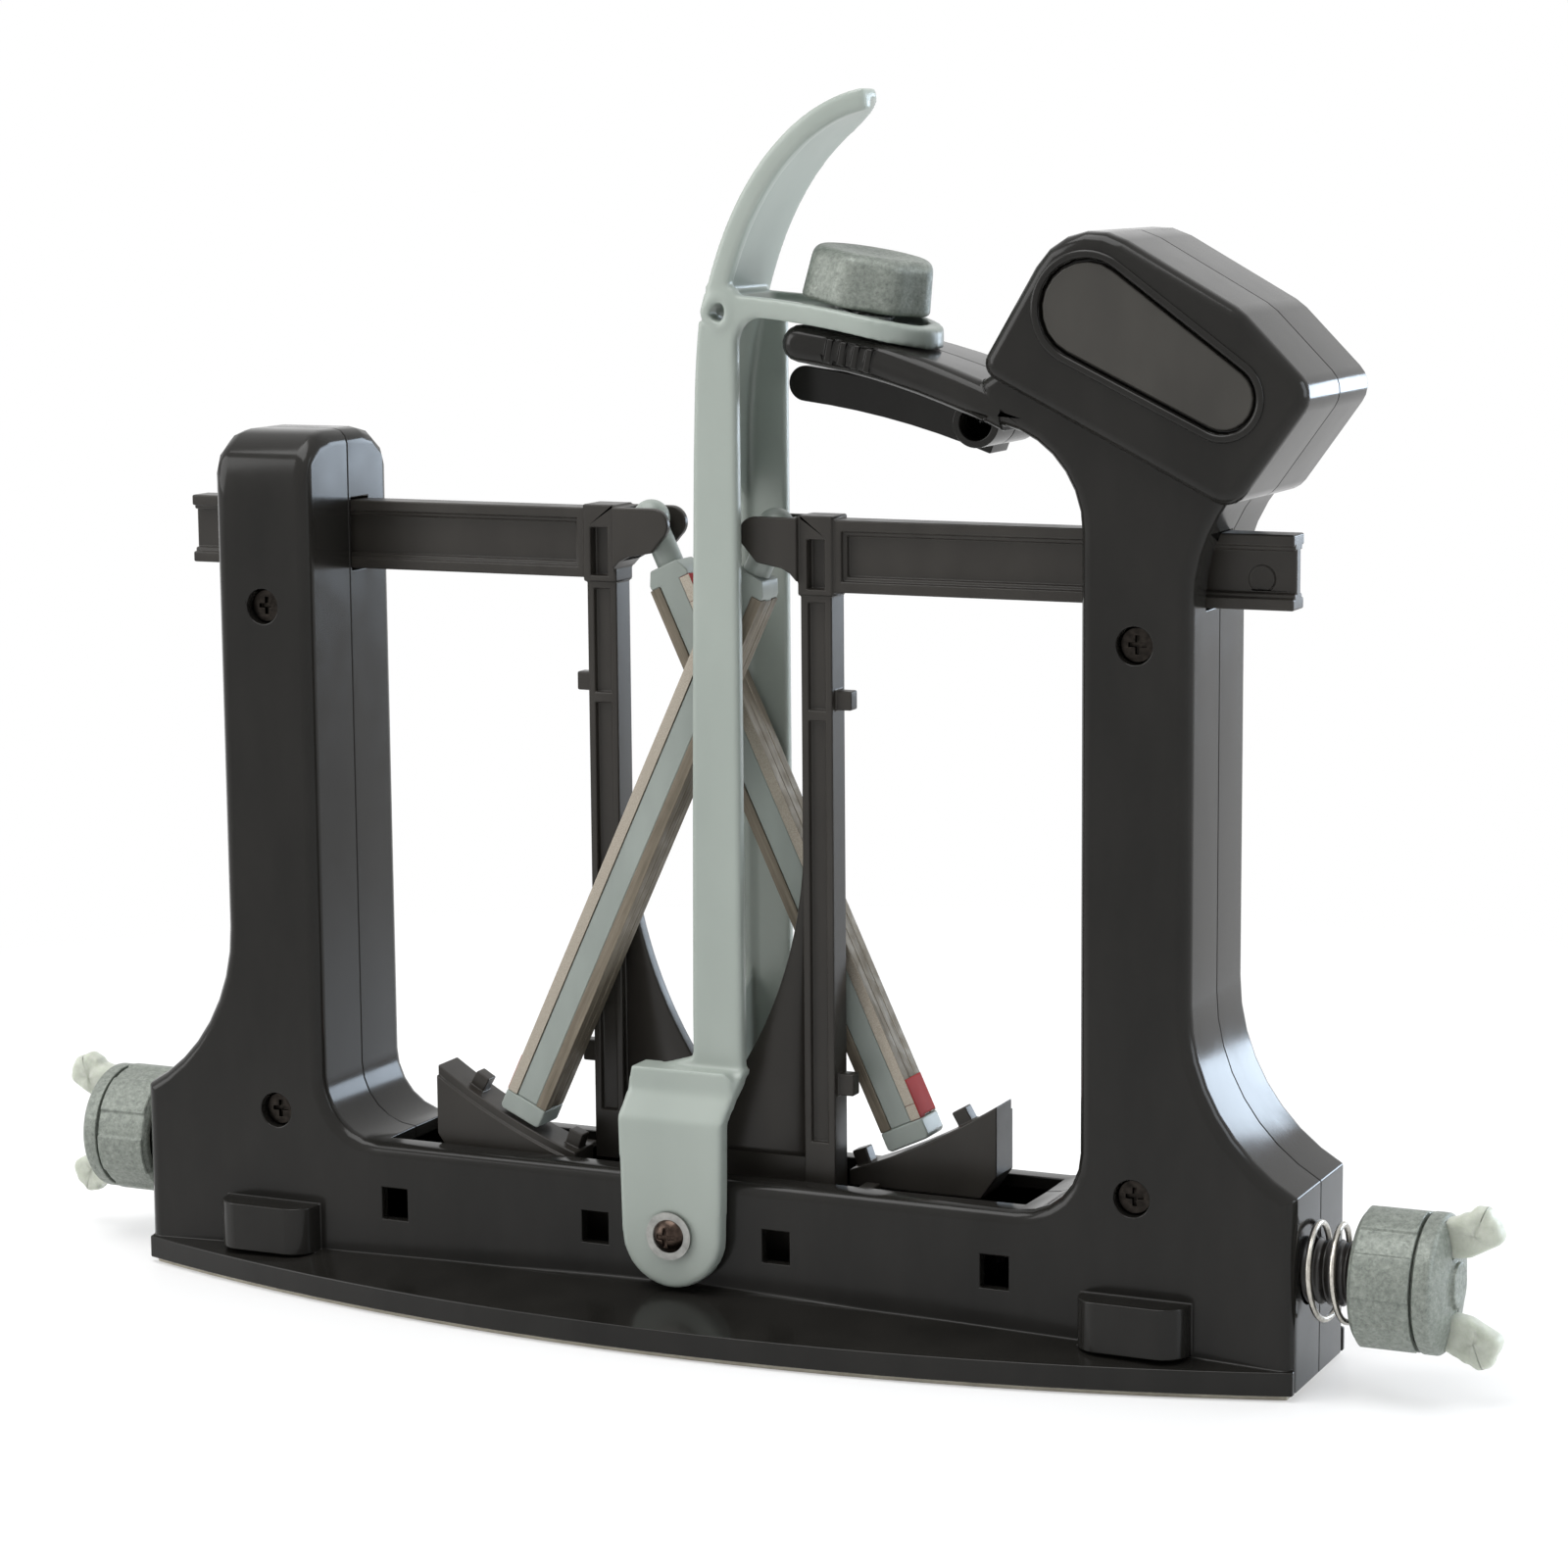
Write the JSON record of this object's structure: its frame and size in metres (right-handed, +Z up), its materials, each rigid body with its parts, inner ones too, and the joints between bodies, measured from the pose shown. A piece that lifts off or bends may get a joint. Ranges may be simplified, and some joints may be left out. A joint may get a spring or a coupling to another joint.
{
  "type": "pull through knife sharpener",
  "caption": "Upright pull-through knife sharpener: open case with a side grip, crossed sprung rods, a clamped swinging blade guide and tension knobs.",
  "frame": {"origin": "on the resting face under the middle of the base, in the plane where the two shells of the case meet", "axes": "+X along the base towards the grip side, +Y from the front face to the rear, +Z up"},
  "size_m": [0.3073, 0.072, 0.2325],
  "materials": {
    "case_black": "glossy warm black",
    "pad_beige": "soft matte",
    "grip_rubber": "matte",
    "screw_steel": "satin",
    "dark_screw": "dark bronze",
    "spring_steel": "bright",
    "nut_brass": "machined",
    "guide_sage": "satin",
    "knob_metallic": "fine metallic grain",
    "carriage_black": "satin black",
    "rod_grey": "satin",
    "strip_coarse": "fine abrasive grain",
    "strip_fine": "smooth ground",
    "mark_red": "matte",
    "thread_black": "satin",
    "wing_pale": "cloudy, slightly translucent"
  },
  "bodies": {
    "housing": {"front_shell": "case_black", "rear_shell": "case_black", "shell_screws": "screw_steel", "base_pad": "pad_beige", "grip_pad_front": "grip_rubber", "grip_pad_rear": "grip_rubber", "right_nut": "nut_brass", "left_nut": "nut_brass", "pivot_bush": "screw_steel", "pivot_washer": "screw_steel", "pivot_screw": "dark_screw", "right_outer_spring": "spring_steel", "left_outer_spring": "spring_steel", "front_inner_spring": "spring_steel", "rear_inner_spring": "spring_steel"},
    "guide": {"guide_lever": "guide_sage", "clamp_bolt": "screw_steel", "clamp_washer": "screw_steel"},
    "clamp": {"clamp_knob": "knob_metallic", "clamp_insert": "nut_brass"},
    "front_carriage": {"front_carriage": "carriage_black", "front_ramp": "carriage_black"},
    "rear_carriage": {"rear_carriage": "carriage_black", "rear_ramp": "carriage_black"},
    "front_rod": {"front_rod_core": "rod_grey", "front_rod_coarse_strips": "strip_coarse", "front_rod_fine_strips": "strip_fine", "front_rod_marks": "mark_red", "front_rod_foot": "rod_grey", "front_rod_head": "carriage_black"},
    "rear_rod": {"rear_rod_core": "rod_grey", "rear_rod_coarse_strips": "strip_coarse", "rear_rod_fine_strips": "strip_fine", "rear_rod_marks": "mark_red", "rear_rod_foot": "rod_grey", "rear_rod_head": "carriage_black"},
    "right_plunger": {"right_plunger": "screw_steel"},
    "left_plunger": {"left_plunger": "screw_steel"},
    "right_knob": {"right_screw": "thread_black", "right_cup": "knob_metallic", "right_cap": "knob_metallic", "right_wings": "wing_pale"},
    "left_knob": {"left_screw": "thread_black", "left_cup": "knob_metallic", "left_cap": "knob_metallic", "left_wings": "wing_pale"}
  },
  "joints": [
    {"name": "guide_swing", "type": "hinge", "parent": "housing", "child": "guide", "pos_m": [-0.001, 0, 0.019], "axis": [0, 1, 0], "range_deg": [-1.7, 2.5]},
    {"name": "clamp_turn", "type": "hinge", "parent": "guide", "child": "clamp", "pos_m": [0.0321, 0, 0.1959], "axis": [0.1839, 0, 0.9829], "continuous": true},
    {"name": "front_carriage_slide", "type": "slide", "parent": "housing", "child": "front_carriage", "axis": [1, 0, 0], "range_m": [0, 0.008], "stiffness_N_per_m": 600, "springref_m": -0.008, "deforming": ["front_inner_spring"]},
    {"name": "rear_carriage_slide", "type": "slide", "parent": "housing", "child": "rear_carriage", "axis": [-1, 0, 0], "range_m": [0, 0.008], "stiffness_N_per_m": 600, "springref_m": -0.008, "deforming": ["rear_inner_spring"]},
    {"name": "front_rod_swing", "type": "hinge", "parent": "front_carriage", "child": "front_rod", "pos_m": [0.015, -0.0043, 0.152], "axis": [0, 1, 0], "range_deg": [-2.2, 2.2]},
    {"name": "rear_rod_swing", "type": "hinge", "parent": "rear_carriage", "child": "rear_rod", "pos_m": [-0.015, 0.0043, 0.152], "axis": [0, 1, 0], "range_deg": [-2.2, 2.2]},
    {"name": "right_knob_travel", "type": "slide", "parent": "housing", "child": "right_plunger", "axis": [-1, 0, 0], "range_m": [-0.0041, 0.0061], "deforming": ["right_outer_spring", "front_inner_spring"]},
    {"name": "right_knob_turn", "type": "hinge", "parent": "right_plunger", "child": "right_knob", "pos_m": [0.13, -0.0055, 0.0218], "axis": [-1, 0, 0], "range_deg": [-720, 1080]},
    {"name": "left_knob_travel", "type": "slide", "parent": "housing", "child": "left_plunger", "axis": [1, 0, 0], "range_m": [-0.0061, 0.0041], "deforming": ["left_outer_spring", "rear_inner_spring"]},
    {"name": "left_knob_turn", "type": "hinge", "parent": "left_plunger", "child": "left_knob", "pos_m": [-0.1265, 0.0055, 0.0218], "axis": [1, 0, 0], "range_deg": [-1080, 720]}
  ],
  "couplings": [
    {"joint": "right_knob_travel", "follows": "right_knob_turn", "m_per_rad": 0.00031831},
    {"joint": "left_knob_travel", "follows": "left_knob_turn", "m_per_rad": 0.00031831}
  ]
}
